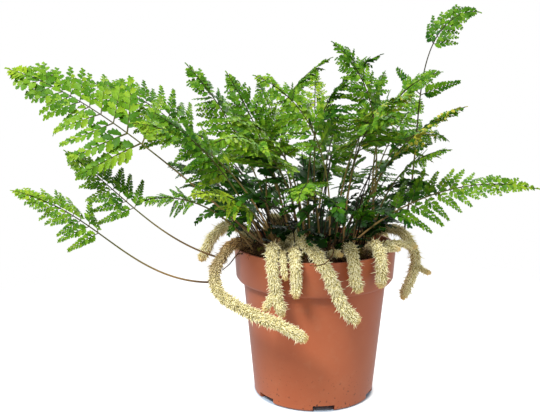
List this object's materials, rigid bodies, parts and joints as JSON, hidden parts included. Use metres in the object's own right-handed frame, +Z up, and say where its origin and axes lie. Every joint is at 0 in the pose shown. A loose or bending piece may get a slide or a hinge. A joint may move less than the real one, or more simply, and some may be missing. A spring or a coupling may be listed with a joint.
{
  "type": "white rabbit's foot fern in a nursery pot",
  "caption": "Potted fern with furry rhizomes hanging over the rim of a plain round plastic pot and a clump of finely cut triangular fronds on thin stalks.",
  "frame": {"origin": "middle of the pot's underside, on the surface that the pot stands on", "axes": "+Z up along the pot's axis, +X to the plant's right as seen from the front, along its widest spread, and -Y towards the front"},
  "size_m": [0.381, 0.2907, 0.2831],
  "materials": {
    "pot_plastic": "satin",
    "potting_mix": "matte",
    "rhizome_fur": "matte",
    "frond_leaf": "satin"
  },
  "bodies": {
    "root": {"pot": "pot_plastic", "potting_mix": "potting_mix", "rhizome_front_left_long": "rhizome_fur", "rhizome_front_thin": "rhizome_fur", "rhizome_front_short": "rhizome_fur", "rhizome_front_diagonal": "rhizome_fur", "rhizome_front_right_inner": "rhizome_fur", "rhizome_front_right_outer": "rhizome_fur", "rhizome_right_thin": "rhizome_fur", "rhizome_right_arch": "rhizome_fur", "rhizome_left_arch": "rhizome_fur", "rhizome_left_loop": "rhizome_fur", "rhizome_back_middle": "rhizome_fur", "rhizome_back_left": "rhizome_fur", "rhizome_back_right": "rhizome_fur", "rhizome_creeping_middle": "rhizome_fur", "frond_left_upper": "frond_leaf", "frond_left_middle": "frond_leaf", "frond_left_lower": "frond_leaf", "frond_right_lower": "frond_leaf", "frond_right_tall": "frond_leaf", "frond_low_front_left": "frond_leaf", "frond_low_front": "frond_leaf", "frond_low_front_right": "frond_leaf", "frond_low_right_back": "frond_leaf", "frond_low_back_right": "frond_leaf", "frond_low_back": "frond_leaf", "frond_low_back_left": "frond_leaf", "frond_left_front": "frond_leaf", "frond_left_small": "frond_leaf", "frond_left_edge": "frond_leaf", "frond_front_young": "frond_leaf", "frond_front_dark": "frond_leaf", "frond_right_inner": "frond_leaf", "frond_right_drooping": "frond_leaf", "frond_wide_front_left": "frond_leaf", "frond_wide_front": "frond_leaf", "frond_wide_front_right": "frond_leaf", "frond_wide_right": "frond_leaf", "frond_wide_right_back": "frond_leaf", "frond_wide_back": "frond_leaf", "frond_wide_back_left": "frond_leaf", "frond_mid_left": "frond_leaf", "frond_mid_left_high": "frond_leaf", "frond_mid_front": "frond_leaf", "frond_mid_front_high": "frond_leaf", "frond_mid_front_right": "frond_leaf", "frond_mid_right": "frond_leaf", "frond_mid_right_high": "frond_leaf", "frond_mid_back": "frond_leaf", "frond_mid_back_left": "frond_leaf", "frond_high_back_left": "frond_leaf", "frond_high_back": "frond_leaf", "frond_high_back_right": "frond_leaf", "frond_left_high": "frond_leaf", "frond_crown_left": "frond_leaf", "frond_crown_middle": "frond_leaf", "frond_crown_right": "frond_leaf"}
  },
  "joints": []
}
